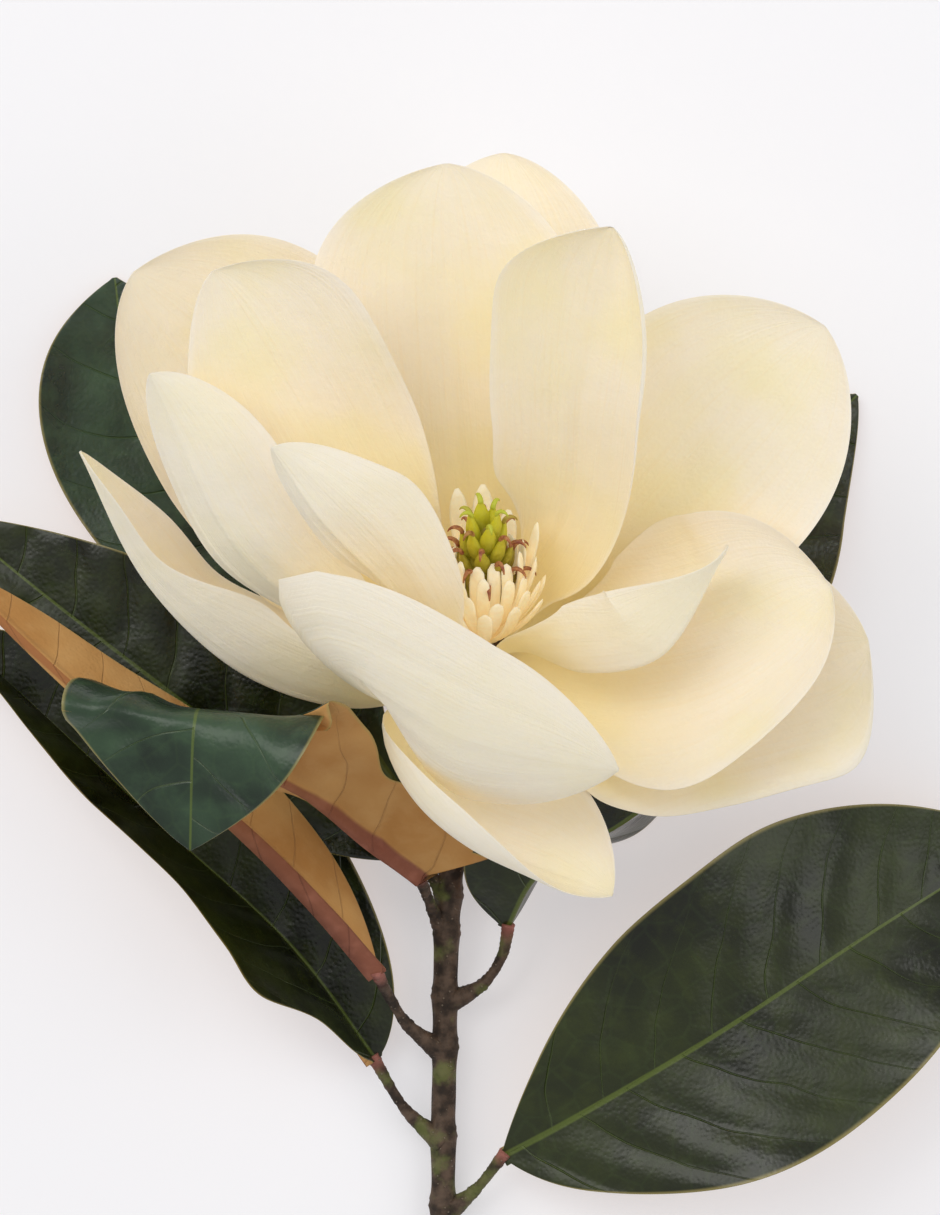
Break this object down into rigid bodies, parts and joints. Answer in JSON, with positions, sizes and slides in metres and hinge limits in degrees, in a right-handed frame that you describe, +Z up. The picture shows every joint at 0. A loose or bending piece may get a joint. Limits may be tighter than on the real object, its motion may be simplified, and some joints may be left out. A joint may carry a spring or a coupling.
{
  "type": "magnolia branch",
  "caption": "Cut branch of an evergreen magnolia lying down: a wide cream cup-shaped bloom with green carpels, leathery oval leaves and a woody stem.",
  "frame": {"origin": "middle of the branch's box at the level of the table that it lies on", "axes": "+Z up from the table, +Y along the stem from its cut end to the bloom, +X to the right of the bloom seen from above"},
  "size_m": [0.3429, 0.4482, 0.1377],
  "materials": {
    "petal": "waxy and soft, cream with a warm yellow base",
    "leaf": "glossy dark green above, tan felt below, light midrib",
    "bark": "matte grey-brown bark with olive green lichen",
    "stamen": "matte cream",
    "carpel": "satin yellow-green with red-brown stigmas"
  },
  "bodies": {
    "root": {"stem": "bark", "stamens": "stamen", "carpels": "carpel", "petal_outer_back": "petal", "petal_outer_left_back": "petal", "petal_outer_left": "petal", "petal_outer_front": "petal", "petal_outer_right": "petal", "petal_middle_back": "petal", "petal_middle_left": "petal", "petal_middle_front": "petal", "petal_middle_right": "petal", "petal_middle_right_back": "petal", "petal_inner_left_back": "petal", "petal_inner_left_front": "petal", "petal_inner_right_front": "petal", "petal_inner_right_back": "petal", "leaf_right_low": "leaf", "leaf_left_low": "leaf", "leaf_left_keeled": "leaf", "leaf_right_behind": "leaf", "leaf_left_folded": "leaf", "leaf_left_behind": "leaf", "leaf_back_left": "leaf", "leaf_back_right": "leaf"}
  },
  "joints": []
}
